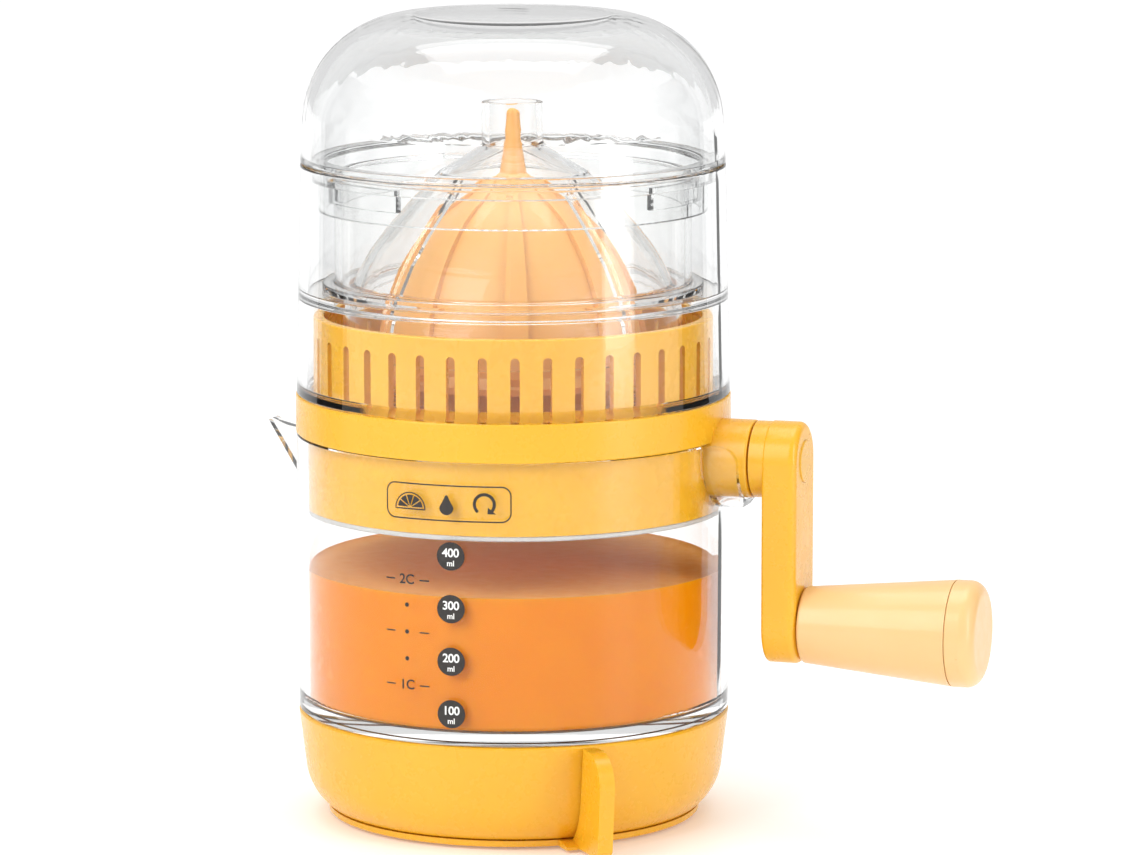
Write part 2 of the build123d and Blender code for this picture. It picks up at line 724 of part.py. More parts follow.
with BuildPart() as reamer_cone:
    # smooth dome between the ridges
    with BuildSketch(front):
        points = dome(ridge_height)
        with BuildLine():
            a = Line((0, reamer_low), (dome_radius_low, reamer_low))
            b = Line(a @ 1, (dome_radius_low, reamer_low + 1.6))
            c = Line(b @ 1, points[0])
            d = Spline(*points)
            e = Line(d @ 1, (3.3, 157.2))
            f = Line(e @ 1, (2.5, 161.8))
            g = Line(f @ 1, (1.5, tip_height - 1.5))
            h = CenterArc((0, tip_height - 1.5), 1.5, 0, 90)
            Line(h @ 1, a @ 0)
        make_face()
    revolve(axis=Axis.Z)
    # ridges that widen towards the rim
    for number in range(ridge_count):
        angle = -71 - ridge_angle / 2 + 360 / ridge_count * number
        ridge_plane = Plane(origin=(0, 0, 0), x_dir=Vector(1, 0, 0).rotate(Axis.Z, angle),
                            z_dir=Vector(0, -1, 0).rotate(Axis.Z, angle))
        points = dome(0)
        with BuildSketch(ridge_plane):
            with BuildLine():
                a = Line((4.6, reamer_low + 0.8), (dome_radius_low - 0.7, reamer_low + 0.8))
                b = Line(a @ 1, points[0])
                c = Spline(*points)
                d = Line(c @ 1, (4.6, 156.4))
                Line(d @ 1, a @ 0)
            make_face()
        revolve(axis=Axis.Z, revolution_arc=ridge_angle)
    # hollow underneath, with a tube left for the spindle socket
    with BuildSketch(front):
        with BuildLine():
            Polyline((9.4, reamer_low - 1), (28.6, reamer_low - 1), (28.4, 117.0), (26.4, 126.0),
                     (22.6, 134.0), (17.2, 142.0), (9.4, 147.6), close=True)
        make_face()
    revolve(axis=Axis.Z, mode=Mode.SUBTRACT)
    with BuildSketch(Plane.XY.offset(reamer_low - 1)):
        Circle(7.2)
    extrude(amount=20, mode=Mode.SUBTRACT)

with BuildPart() as reamer_socket:
    with BuildSketch(Plane.XY.offset(reamer_low)):
        Circle(7.2 - seat)
        RegularPolygon(spindle_flats / 2 + 0.2, 6, major_radius=False, mode=Mode.SUBTRACT)
    extrude(amount=13.0)
    with BuildSketch(Plane.XY.offset(reamer_low + 12.0)):
        Circle(7.2 - seat)
    extrude(amount=3.0)

# ---------------------------------------------------------------- clear housing
with BuildPart() as clear_housing:
    with BuildSketch(front) as profile:
        with BuildLine():
            Polyline((strainer_radius + loose, ledge_top + face_gap),
                     (51.35, ledge_top + face_gap), (51.35, ring_top + 0.2),
                     (housing_low_radius, ring_top + 0.2), (housing_top_radius, housing_top),
                     (housing_top_radius - housing_wall + 0.05, housing_top), (49.95, shelf_top),
                     (44.0, shelf_top), (44.0, shelf_top - 2.0), (50.0, shelf_top - 2.0),
                     (50.45, 106.6), (strainer_radius + loose, 103.4), close=True)
        make_face()
        fillet(profile.vertices(), 0.4)
    revolve(axis=Axis.Z)

# ---------------------------------------------------------------- press cup
with BuildPart() as press_cup:
    with BuildSketch(front) as profile:
        with BuildLine():
            a = Line((collar_radius, collar_top), (collar_radius, 164.4))
            b = Line(a @ 1, (18.0, 158.0))
            c = Spline(b @ 1, (24.0, 151.8), (29.5, 145.7), (34.6, 139.0), (38.7, 131.4))
            d = Line(c @ 1, (press_radius - 1.8, 131.4))
            e = Line(d @ 1, (press_radius - 1.8, press_top))
            f = Line(e @ 1, (press_radius, press_top))
            g = Line(f @ 1, (press_radius, 131.4))
            h = Line(g @ 1, (46.4, 131.4))
            i = Line(h @ 1, (46.4, shelf_top + face_gap))
            j = Line(i @ 1, (39.9, shelf_top + face_gap))
            k = Spline(j @ 1, (41.3, 124.8), (42.2, 119.8), (42.6, 115.0))
            m = Line(k @ 1, (41.0, 115.0))
            n = Spline(m @ 1, (40.6, 119.5), (39.6, 124.3), (36.9, 131.0), (33.2, 138.1),
                       (28.2, 144.6), (22.8, 150.6), (17.2, 156.6))
            o = Line(n @ 1, (collar_radius - press_wall, 163.2))
            p = Line(o @ 1, (collar_radius - press_wall, collar_top))
            Line(p @ 1, a @ 0)
        make_face()
        fillet([v for v in profile.vertices()
                if v.X < 8 or (v.X > 41.4 and max(v.Y, v.Z) > 129)], 0.35)
    revolve(axis=Axis.Z)
    # ribs that hold the peel
    for number in range(rib_count):
        angle = -75 + 360 / rib_count * number
        rib_plane = Plane(origin=(0, 0, 0), x_dir=Vector(1, 0, 0).rotate(Axis.Z, angle),
                          z_dir=Vector(0, -1, 0).rotate(Axis.Z, angle))
        with BuildSketch(rib_plane):
            Polygon((20.0, 154.6), (23.4, 151.1), (28.9, 145.1), (33.9, 138.5), (37.7, 131.4),
                    (40.4, 124.8), (41.5, 117.0), (39.5, 117.0), (39.2, 119.2), (38.3, 123.7),
                    (35.6, 130.3), (31.9, 137.3), (27.1, 143.6), (21.8, 149.5), (18.6, 153.0),
                    align=None)
        extrude(amount=0.8, both=True)
    # three tabs that stop the cup turning in the lid
    for number in range(3):
        with BuildSketch(Plane.XY.offset(152.0)):
            with BuildLine():
                start = -147 + 120 * number
                a = CenterArc((0, 0), 45.2, start, 38)
                b = CenterArc((0, 0), press_radius - 0.3, start, 38)
                Line(a @ 0, b @ 0)
                Line(a @ 1, b @ 1)
            make_face()
        extrude(amount=5.4)

# ---------------------------------------------------------------- lid
dome_radius = 27.0
dome_height = lid_top - 1.1 - lid_corner
side = 51.15
middle = side - dome_radius
crown = (middle ** 2 + 1.1 ** 2) / 2.2      # radius of the almost flat top
crown_half = degrees(asin(middle / crown))
with BuildPart() as lid_dome:
    with BuildSketch(front):
        with BuildLine():
            a = Line((51.2, lid_low), (51.6, lid_low + 0.4))
            b = Line(a @ 1, (side, lid_corner))
            c = EllipticalCenterArc((middle, lid_corner), dome_radius, dome_height, 0, arc_size=90)
            d = CenterArc((0, lid_top - crown), crown, 90 - crown_half, crown_half)
            e = Line((0, lid_top), (0, lid_top - lid_wall))
            f = CenterArc((0, lid_top - lid_wall - crown), crown, 90 - crown_half, crown_half)
            g = EllipticalCenterArc((middle, lid_corner), dome_radius - lid_wall,
                                    dome_height - lid_wall, 0, arc_size=90)
            h = Line((side - lid_wall, lid_corner), (49.0, lid_low + 1.6))
            i = Line(h @ 1, (50.35, lid_low + 1.6))
            j = Line(i @ 1, (50.35, lid_low))
            Line(j @ 1, a @ 0)
        make_face()
    revolve(axis=Axis.Z)

with BuildPart() as lid_ring:
    with BuildSketch(front) as profile:
        with BuildLine():
            Polyline((45.7, 149.0), (47.3, 149.0), (47.3, 156.4), (48.85, 156.4),
                     (48.85, lid_low + 0.1), (50.25, lid_low + 0.1), (50.25, lid_low + 1.5),
                     (45.7, lid_low + 1.5), close=True)
        make_face()
        fillet(profile.vertices(), 0.3)
    revolve(axis=Axis.Z)

# ---------------------------------------------------------------- write the pieces
named = {
    "base_shell": base_shell.part, "suction_lever": suction_lever.part,
    "lever_keeper": lever_keeper.part, "suction_pad": suction_pad.part,
    "pad_core": pad_core.part, "cross_pin": cross_pin.part, "well_ring": well_ring.part,
    "juice_cup": juice_cup.part, "drive_housing": drive_housing.part,
    "gearbox_cover": gearbox_cover.part, "skirt_seal": skirt_seal.part,
    "drive_shaft": drive_shaft.part, "crown_gear": crown_gear.part,
    "bevel_pinion": bevel_pinion.part, "thrust_washer": thrust_washer.part,
    "output_spindle": output_spindle.part, "crank_arm": crank_arm.part,
    "crank_screw": crank_screw.part, "crank_cap": crank_cap.part, "grip_pin": grip_pin.part,
    "grip_sleeve": grip_sleeve.part, "grip_cap": grip_cap.part,
    "strainer_basket": strainer_basket.part, "reamer_cone": reamer_cone.part,
    "reamer_socket": reamer_socket.part, "clear_housing": clear_housing.part,
    "press_cup": press_cup.part, "lid_dome": lid_dome.part, "lid_ring": lid_ring.part,
}
for number, screw in enumerate(keeper_screws, 1):
    named[f"keeper_screw_{number}"] = screw
for number, screw in enumerate(cover_screws, 1):
    named[f"cover_screw_{number}"] = screw
for name, bush in zip(bush_names, bushes):
    named[name] = bush
for name, piece in named.items():
    piece.label = name
    export_step(piece, f"parts/{name}.step")
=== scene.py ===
import json
from math import cos, pi, radians, sin, sqrt

import bmesh
import bpy
import numpy as np
from mathutils import Matrix, Vector


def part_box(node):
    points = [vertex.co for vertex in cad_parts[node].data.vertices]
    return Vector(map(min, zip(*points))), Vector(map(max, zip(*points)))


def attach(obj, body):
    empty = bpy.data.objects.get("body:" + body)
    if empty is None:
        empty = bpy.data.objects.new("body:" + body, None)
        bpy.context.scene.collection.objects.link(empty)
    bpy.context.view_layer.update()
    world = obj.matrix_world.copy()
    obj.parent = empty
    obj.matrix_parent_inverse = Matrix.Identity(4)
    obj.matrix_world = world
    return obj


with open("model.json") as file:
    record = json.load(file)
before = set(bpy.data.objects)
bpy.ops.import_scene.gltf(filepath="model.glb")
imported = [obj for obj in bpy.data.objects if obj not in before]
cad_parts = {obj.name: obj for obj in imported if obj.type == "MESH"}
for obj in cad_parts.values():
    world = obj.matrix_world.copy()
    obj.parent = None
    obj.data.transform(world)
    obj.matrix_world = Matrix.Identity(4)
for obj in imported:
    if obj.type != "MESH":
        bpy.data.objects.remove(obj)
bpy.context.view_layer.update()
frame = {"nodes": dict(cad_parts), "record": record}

NODES = frame["nodes"]
MM = 0.001

# Heights and radii that the added pieces share with the frame, in metres.
cup_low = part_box("juice_cup")[0].z + 3.8 * MM      # underside of the cup's floor
cup_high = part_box("juice_cup")[1].z
cup_radius_low, cup_radius_high = 52.65 * MM, 52.95 * MM
cup_wall, cup_floor = 2.5 * MM, 2.6 * MM
film_thickness = 0.05 * MM
film_gap = 0.03 * MM         # between the cup's wall and the back of a printed film


def cup_radius(z):
    """Outer radius of the cup at height z: a straight taper from floor to lip."""
    t = (z - cup_low) / (cup_high - cup_low)
    return cup_radius_low + (cup_radius_high - cup_radius_low) * t


# ------------------------------------------------------------------ mesh helpers
def make_mesh(name, verts, faces, smooth=True, angle=35.0):
    """Object from arrays of points and faces, shaded smooth below the given edge angle."""
    mesh = bpy.data.meshes.new(name)
    mesh.from_pydata(np.asarray(verts).tolist(), [], [list(face) for face in faces])
    mesh.validate()
    mesh.update()
    obj = bpy.data.objects.new(name, mesh)
    bpy.context.scene.collection.objects.link(obj)
    if smooth:
        mesh.polygons.foreach_set("use_smooth", np.ones(len(mesh.polygons), bool))
        mesh.set_sharp_from_angle(angle=radians(angle))
    return obj


def lathe(name, profile, segments=160):
    """Solid of revolution about Z. A grid of (profile point, angle) holds
    (r cos a, r sin a, z), its last row is joined to its first, and a point on the axis is one
    vertex. The profile is a closed loop of (radius, z) that runs so that the faces point out."""
    r, z = np.array(profile, float).T
    a = 2 * pi * np.arange(segments) / segments
    points = np.stack([np.outer(r, np.cos(a)), np.outer(r, np.sin(a)),
                       np.repeat(z[:, None], segments, 1)], 2)
    on_axis = r < 1e-7
    sizes_in_row = np.where(on_axis, 1, segments)
    first = np.concatenate([[0], np.cumsum(sizes_in_row)[:-1]])
    kept = np.arange(segments)[None, :] < sizes_in_row[:, None]
    column = np.where(on_axis[:, None], 0, np.arange(segments)[None, :])
    index = first[:, None] + column
    here, ahead = index, np.roll(index, -1, 0)
    quads = np.stack([here, np.roll(here, -1, 1), np.roll(ahead, -1, 1), ahead], 2)
    ends_on_axis = np.roll(on_axis, -1)
    faces = []
    for row, from_axis, to_axis in zip(quads, on_axis, ends_on_axis):
        if from_axis and to_axis:
            continue
        if from_axis:
            row = row[:, [0, 2, 3]]
        elif to_axis:
            row = row[:, [0, 1, 2]]
        faces += row.tolist()
    return make_mesh(name, points[kept], faces)


def wrap(u, z, lift):
    """Points on the cup's outer wall, (R sin(u/r), -R cos(u/r), z) with R = r + lift: u is the
    arc length from the front centre towards the crank, and lift the height above the wall."""
    r = cup_radius(z)
    a = u / r
    return np.stack([(r + lift) * np.sin(a), -(r + lift) * np.cos(a), z], -1)


def film(name, grid, closed=False):
    """Closed printed film on the cup: the sheet that a grid of (u, z) makes on the wall, the
    same sheet a film's thickness further in, and the rim between them. A closed grid's last
    column is joined to its first."""
    rows, cols = grid.shape[:2]
    flat = grid.reshape(-1, 2)
    front = wrap(flat[:, 0], flat[:, 1], film_gap + film_thickness)
    back = wrap(flat[:, 0], flat[:, 1], np.full(len(flat), film_gap))
    index = np.arange(rows * cols).reshape(rows, cols)
    beside = np.roll(index, -1, 1)
    steps = slice(None) if closed else slice(None, -1)
    here, right_of = index[:, steps], beside[:, steps]

    def rim(a, b):
        """Faces between the line from a to b on the front sheet and its copy on the back."""
        return np.stack([a, b, b + len(flat), a + len(flat)], -1).reshape(-1, 4)

    sheet = np.stack([here[:-1], right_of[:-1], right_of[1:], here[1:]], -1).reshape(-1, 4)
    faces = [sheet, sheet[:, ::-1] + len(flat), rim(right_of[0], here[0]), rim(here[-1], right_of[-1])]
    if not closed:
        faces += [rim(index[:-1, 0], index[1:, 0]), rim(index[1:, -1], index[:-1, -1])]
    obj = make_mesh(name, np.concatenate([front, back]), np.concatenate(faces).tolist())
    shell = bmesh.new()
    shell.from_mesh(obj.data)
    bmesh.ops.remove_doubles(shell, verts=shell.verts, dist=1e-7)
    bmesh.ops.recalc_face_normals(shell, faces=shell.faces)
    shell.to_mesh(obj.data)
    shell.free()
    return obj


def disc(name, u0, z0, radius, rings=5, around=48):
    """Round printed spot: (u0 + r cos a, z0 + r sin a) for rings of r from near 0 to the radius."""
    r = radius * np.maximum(np.arange(rings + 1), 0.02)[:, None] / rings
    a = 2 * pi * np.arange(around)[None, :] / around
    return film(name, np.stack([u0 + r * np.cos(a), z0 + r * np.sin(a)], 2), closed=True)


def outline(name, path, width):
    """Printed line of even width along a closed path of (u, z): the path moved half the width
    to each side, square to the direction from the point before to the point after."""
    path = np.array(path)
    ahead = np.roll(path, -1, 0) - np.roll(path, 1, 0)
    ahead /= np.linalg.norm(ahead, axis=1)[:, None]
    side = np.stack([-ahead[:, 1], ahead[:, 0]], 1)
    return film(name, np.stack([path - side * width / 2, path + side * width / 2], 0), closed=True)


def arc_points(u0, z0, radius, start, end, steps):
    """Points (u0 + r cos a, z0 + r sin a) with a from start to end, in degrees."""
    a = np.radians(np.linspace(start, end, steps + 1))
    return list(zip(u0 + radius * np.cos(a), z0 + radius * np.sin(a)))


def round_box(u0, u1, z0, z1, radius, steps=10, spacing=0.6 * MM):
    """Points round a rectangle with round corners: four quarter circles, and the straight runs
    between them divided about every spacing so that they follow the wall."""
    corners = ((u1 - radius, z0 + radius, -90), (u1 - radius, z1 - radius, 0),
               (u0 + radius, z1 - radius, 90), (u0 + radius, z0 + radius, 180))
    points = []
    for cu, cz, start in corners:
        points += arc_points(cu, cz, radius, start, start + 90, steps)
    even = []
    for p, q in zip(points, points[1:] + points[:1]):
        pieces = max(1, int(sqrt((q[0] - p[0]) ** 2 + (q[1] - p[1]) ** 2) / spacing))
        even += [(p[0] + (q[0] - p[0]) * s / pieces, p[1] + (q[1] - p[1]) * s / pieces)
                 for s in range(pieces)]
    return even


def word(name, text, u0, z0, height, spread=1.0, lift=0.0):
    """Printed characters centred on (u0, z0): each point (x, y, t) of the flat text goes to the
    wall's point (u0 + x, z0 + y), t above the film's middle."""
    curve = bpy.data.curves.new(name + "_curve", "FONT")
    curve.body = text
    curve.align_x = "CENTER"
    curve.align_y = "CENTER"
    curve.size = height
    curve.space_character = spread
    curve.resolution_u = 6
    curve.extrude = film_thickness / 2
    curve.offset = height * 0.018
    holder = bpy.data.objects.new(name + "_curve", curve)
    bpy.context.scene.collection.objects.link(holder)
    bpy.context.view_layer.update()
    source = holder.evaluated_get(bpy.context.evaluated_depsgraph_get())
    mesh = bpy.data.meshes.new_from_object(source)
    points = np.zeros(len(mesh.vertices) * 3)
    mesh.vertices.foreach_get("co", points)
    x, y, t = points.reshape(-1, 3).T
    bent = wrap(u0 + x, z0 + y, film_gap + lift + film_thickness / 2 + t)
    mesh.vertices.foreach_set("co", bent.ravel())
    mesh.update()
    bpy.data.objects.remove(holder)
    obj = bpy.data.objects.new(name, mesh)
    mesh.name = name
    bpy.context.scene.collection.objects.link(obj)
    return obj


def join(name, objects):
    """One mesh object from several, keeping their places."""
    verts, faces = [], []
    for obj in objects:
        base = len(verts)
        verts += [tuple(v.co) for v in obj.data.vertices]
        faces += [tuple(base + i for i in p.vertices) for p in obj.data.polygons]
        bpy.data.objects.remove(obj)
    return make_mesh(name, verts, faces, smooth=False)


# ------------------------------------------------------------------ shared effects
def shared_effect(name, inputs, outputs):
    """New shader node group with named sockets, given as (name, kind, default)."""
    group = bpy.data.node_groups.new(name, "ShaderNodeTree")
    for title, kind, default in inputs:
        socket = group.interface.new_socket(title, in_out="INPUT", socket_type="NodeSocket" + kind)
        socket.default_value = default
    for title, kind in outputs:
        group.interface.new_socket(title, in_out="OUTPUT", socket_type="NodeSocket" + kind)
    return group, group.nodes.new("NodeGroupInput"), group.nodes.new("NodeGroupOutput")


def pattern_nodes(group, start):
    """Inside a group: noise on Object coordinates, scaled along each axis by Stretch."""
    link = group.links.new
    place = group.nodes.new("ShaderNodeTexCoord")
    stretch = group.nodes.new("ShaderNodeMapping")
    link(place.outputs["Object"], stretch.inputs["Vector"])
    link(start.outputs["Stretch"], stretch.inputs["Scale"])
    pattern = group.nodes.new("ShaderNodeTexNoise")
    link(stretch.outputs["Vector"], pattern.inputs["Vector"])
    for title in ("Scale", "Detail", "Roughness"):
        link(start.outputs[title], pattern.inputs[title])
    return pattern.outputs["Fac"]


def spread_nodes(group, value, low, high):
    """Inside a group: value from 0.3..0.7 to low..high."""
    node = group.nodes.new("ShaderNodeMapRange")
    node.inputs["From Min"].default_value = 0.3
    node.inputs["From Max"].default_value = 0.7
    for title, end in (("To Min", low), ("To Max", high)):
        if isinstance(end, (int, float)):
            node.inputs[title].default_value = end
        else:
            group.links.new(end, node.inputs[title])
    group.links.new(value, node.inputs["Value"])
    return node.outputs["Result"]


PATTERN = (("Stretch", "Vector", (1.0, 1.0, 1.0)), ("Scale", "Float", 50.0),
           ("Detail", "Float", 3.0), ("Roughness", "Float", 0.5))

# colour that drifts slowly between two close shades, from the pigment
pigment_drift, start, end = shared_effect(
    "pigment_drift", PATTERN + (("Colour", "Color", (1, 1, 1, 1)), ("Shade", "Color", (1, 1, 1, 1))),
    (("Colour", "Color"), ("Drift", "Float")))
drift = spread_nodes(pigment_drift, pattern_nodes(pigment_drift, start), 0.0, 1.0)
blend = pigment_drift.nodes.new("ShaderNodeMix")
blend.data_type = "RGBA"
pigment_drift.links.new(drift, blend.inputs["Factor"])
pigment_drift.links.new(start.outputs["Colour"], blend.inputs["A"])
pigment_drift.links.new(start.outputs["Shade"], blend.inputs["B"])
pigment_drift.links.new(blend.outputs["Result"], end.inputs["Colour"])
pigment_drift.links.new(drift, end.inputs["Drift"])

# patches that are duller or shinier from handling
handling_wear, start, end = shared_effect(
    "handling_wear", PATTERN + (("Shiniest", "Float", 0.2), ("Dullest", "Float", 0.4)),
    (("Roughness", "Float"),))
dull = spread_nodes(handling_wear, pattern_nodes(handling_wear, start), start.outputs["Shiniest"],
                    start.outputs["Dullest"])
handling_wear.links.new(dull, end.inputs["Roughness"])

# height of the grain, flow waves or turning lines in a surface
surface_grain, start, end = shared_effect("surface_grain", PATTERN, (("Height", "Float"),))
surface_grain.links.new(pattern_nodes(surface_grain, start), end.inputs["Height"])


# ------------------------------------------------------------------ materials
def new_material(name):
    """Material with nodes, as (material, node tree, its Principled BSDF)."""
    mat = bpy.data.materials.new(name)
    mat.use_nodes = True
    nt = mat.node_tree
    return mat, nt, nt.nodes["Principled BSDF"]


def effect(nt, group, stretch=(1, 1, 1), **values):
    """A shared effect placed in a material with its own values."""
    node = nt.nodes.new("ShaderNodeGroup")
    node.node_tree = group
    node.inputs["Stretch"].default_value = stretch
    for title, value in values.items():
        colour = title in ("Colour", "Shade")
        node.inputs[title].default_value = (*value, 1) if colour else value
    return node


def drifting_colour(nt, bsdf, colour, shade, scale, detail=3.0, rough=0.5):
    """Base Color from the pigment effect. Returns the drift, for a bump that follows it."""
    node = effect(nt, pigment_drift, Scale=scale, Detail=detail, Roughness=rough, Colour=colour,
                  Shade=shade)
    nt.links.new(node.outputs["Colour"], bsdf.inputs["Base Color"])
    return node.outputs["Drift"]


def worn_gloss(nt, bsdf, shiniest, dullest, scale, detail=3.0, rough=0.5, stretch=(1, 1, 1)):
    """Roughness from the wear effect."""
    node = effect(nt, handling_wear, stretch, Scale=scale, Detail=detail, Roughness=rough,
                  Shiniest=shiniest, Dullest=dullest)
    nt.links.new(node.outputs["Roughness"], bsdf.inputs["Roughness"])


def grain(nt, scale, detail=3.0, stretch=(1, 1, 1)):
    """Height from the grain effect."""
    return effect(nt, surface_grain, stretch, Scale=scale, Detail=detail).outputs["Height"]


def bump(nt, bsdf, height, strength, distance):
    """Bump of the given height pattern, with distance in metres."""
    node = nt.nodes.new("ShaderNodeBump")
    node.inputs["Strength"].default_value = strength
    node.inputs["Distance"].default_value = distance
    nt.links.new(height, node.inputs["Height"])
    nt.links.new(node.outputs["Normal"], bsdf.inputs["Normal"])


def moulded(name, colour, shade, rough, coat=0.25, scatter=0.0):
    """Injection moulded plastic: slow colour drift from the pigment, a faint orange-peel
    surface and patches that are a little duller from handling."""
    mat, nt, bsdf = new_material(name)
    drifting_colour(nt, bsdf, colour, shade, 28.0, 2.0)
    worn_gloss(nt, bsdf, rough * 0.8, rough * 1.3, 160.0, 5.0, 0.65)
    bump(nt, bsdf, grain(nt, 1500.0, 2.0), 0.15, 0.01 * MM)
    bsdf.inputs["Coat Weight"].default_value = coat
    bsdf.inputs["Coat Roughness"].default_value = 0.06
    bsdf.inputs["IOR"].default_value = 1.5
    bsdf.inputs["Subsurface Weight"].default_value = scatter
    bsdf.inputs["Subsurface Radius"].default_value = (6 * MM, 3 * MM, 1 * MM)
    bsdf.inputs["Subsurface Scale"].default_value = 1.0
    return mat


def clear(name, ior, tint=(0.985, 0.99, 0.99), rough=0.012):
    """Clear moulded plastic: faint flow waves in the wall and hairline handling haze."""
    mat, nt, bsdf = new_material(name)
    worn_gloss(nt, bsdf, rough * 0.4, rough * 2.2, 220.0, 4.0)
    bump(nt, bsdf, grain(nt, 42.0, 1.0, (1, 1, 0.35)), 0.35, 0.04 * MM)
    bsdf.inputs["Base Color"].default_value = (*tint, 1)
    bsdf.inputs["Transmission Weight"].default_value = 1.0
    bsdf.inputs["IOR"].default_value = ior
    # lamps shine straight through, so that what stands behind the wall is lit
    path = nt.nodes.new("ShaderNodeLightPath")
    through = nt.nodes.new("ShaderNodeBsdfTransparent")
    through.inputs["Color"].default_value = (0.97, 0.97, 0.97, 1)
    mix = nt.nodes.new("ShaderNodeMixShader")
    nt.links.new(path.outputs["Is Shadow Ray"], mix.inputs["Fac"])
    nt.links.new(bsdf.outputs["BSDF"], mix.inputs[1])
    nt.links.new(through.outputs["BSDF"], mix.inputs[2])
    nt.links.new(mix.outputs["Shader"], nt.nodes["Material Output"].inputs["Surface"])
    return mat


def turned_steel(name, lines):
    """Turned steel: fine rings square to the turning axis, and slight staining."""
    mat, nt, bsdf = new_material(name)
    colour, rough = (0.62, 0.61, 0.59), 0.25
    drifting_colour(nt, bsdf, colour, tuple(c * 0.8 for c in colour), 300.0, 4.0)
    worn_gloss(nt, bsdf, rough * 0.7, rough * 1.4, 60.0, 2.0, stretch=lines)
    bump(nt, bsdf, grain(nt, 60.0, 2.0, lines), 0.2, 0.02 * MM)
    bsdf.inputs["Metallic"].default_value = 1.0
    return mat


def printed(name, colour, shade, shiniest, dullest):
    """Screen printed ink: a slightly uneven film."""
    mat, nt, bsdf = new_material(name)
    drifting_colour(nt, bsdf, colour, shade, 700.0)
    worn_gloss(nt, bsdf, shiniest, dullest, 500.0)
    return mat


def soft_silicone():
    """Milky silicone of the suction pad, with a fine matt grain."""
    mat, nt, bsdf = new_material("silicone_look")
    drifting_colour(nt, bsdf, (0.80, 0.80, 0.78), (0.72, 0.72, 0.70), 90.0)
    worn_gloss(nt, bsdf, 0.38, 0.55, 400.0)
    bump(nt, bsdf, grain(nt, 1500.0), 0.3, 0.02 * MM)
    bsdf.inputs["Transmission Weight"].default_value = 0.35
    bsdf.inputs["IOR"].default_value = 1.41
    return mat


def cloudy_juice():
    """Orange juice: cloudy with pulp, and light scatters a long way in it."""
    mat, nt, bsdf = new_material("juice_look")
    drifting_colour(nt, bsdf, (0.74, 0.235, 0.001), (0.70, 0.205, 0.001), 45.0, 4.0, 0.6)
    worn_gloss(nt, bsdf, 0.12, 0.3, 260.0)
    bump(nt, bsdf, grain(nt, 380.0), 0.15, 0.08 * MM)
    bsdf.inputs["Subsurface Weight"].default_value = 0.35
    bsdf.inputs["Subsurface Radius"].default_value = (12 * MM, 5 * MM, 1 * MM)
    bsdf.inputs["Subsurface Scale"].default_value = 1.0
    bsdf.inputs["IOR"].default_value = 1.35
    bsdf.inputs["Specular IOR Level"].default_value = 0.1
    return mat


def froth_and_painted_light():
    """The juice's top: a thin froth of pulp and small bubbles. Its pale colour is partly painted
    light, which brightens the top where it lies in shade.
    """
    mat, nt, bsdf = new_material("juice_froth_painted_light_look")
    bubbles = drifting_colour(nt, bsdf, (0.95, 0.50, 0.17), (0.90, 0.40, 0.10), 330.0, 5.0, 0.7)
    worn_gloss(nt, bsdf, 0.6, 0.85, 700.0)
    bump(nt, bsdf, bubbles, 0.3, 0.1 * MM)
    bsdf.inputs["Specular IOR Level"].default_value = 0.05
    return mat


yellow = moulded("yellow_plastic_look", (0.82, 0.43, 0.018), (0.79, 0.40, 0.014), 0.26, 0.12, 0.12)
reamer_mat = moulded("reamer_plastic_look", (0.76, 0.39, 0.10), (0.73, 0.35, 0.075), 0.35, 0.0, 0.15)
cream = moulded("cream_plastic_look", (0.82, 0.53, 0.235), (0.80, 0.50, 0.21), 0.34, scatter=0.12)
nylon = moulded("nylon_look", (0.82, 0.81, 0.76), (0.77, 0.76, 0.70), 0.45, coat=0.0)
clear_mat = clear("clear_plastic_look", 1.46)
cup_mat = clear("cup_plastic_look", 1.33)
press_mat = clear("press_cup_look", 1.28, (0.99, 0.99, 0.985), 0.02)
steel = turned_steel("steel_look", (1, 1, 12))
pin_steel = turned_steel("pin_steel_look", (12, 1, 1))
silicone = soft_silicone()
ink = printed("ink_look", (0.012, 0.009, 0.008), (0.03, 0.024, 0.02), 0.35, 0.5)
white_ink = printed("white_ink_look", (0.9, 0.9, 0.88), (0.8, 0.8, 0.78), 0.4, 0.55)
juice_mat = cloudy_juice()
froth_painted_light_mat = froth_and_painted_light()

slot_looks = {
    "yellow_plastic": yellow, "clear_plastic": clear_mat, "cream_plastic": cream,
    "white_nylon": nylon, "clear_silicone": silicone, "steel": steel,
}
node_looks = {
    "reamer_cone": reamer_mat, "press_cup": press_mat, "juice_cup": cup_mat,
    "drive_shaft": pin_steel, "grip_pin": pin_steel, "cross_pin": pin_steel,
    "crank_screw": pin_steel,
}
slot_of = {part["node"]: part["material_slot"] for part in frame["record"]["subparts"]}
for node, obj in NODES.items():
    look = node_looks.get(node, slot_looks[slot_of[node]])
    for holder in obj.material_slots:
        holder.material = look


def dress(obj, mat, body):
    """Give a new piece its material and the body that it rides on."""
    obj.data.materials.clear()
    obj.data.materials.append(mat)
    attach(obj, body)
    return obj


# ------------------------------------------------------------------ orange juice in the cup
juice_line = 61.0 * MM       # height of the juice's top
juice_gap = 0.12 * MM        # between the juice and the cup's wall
floor_round = 2 * MM         # radius where the floor meets the wall
climb, climb_reach = 0.9 * MM, 1.1 * MM


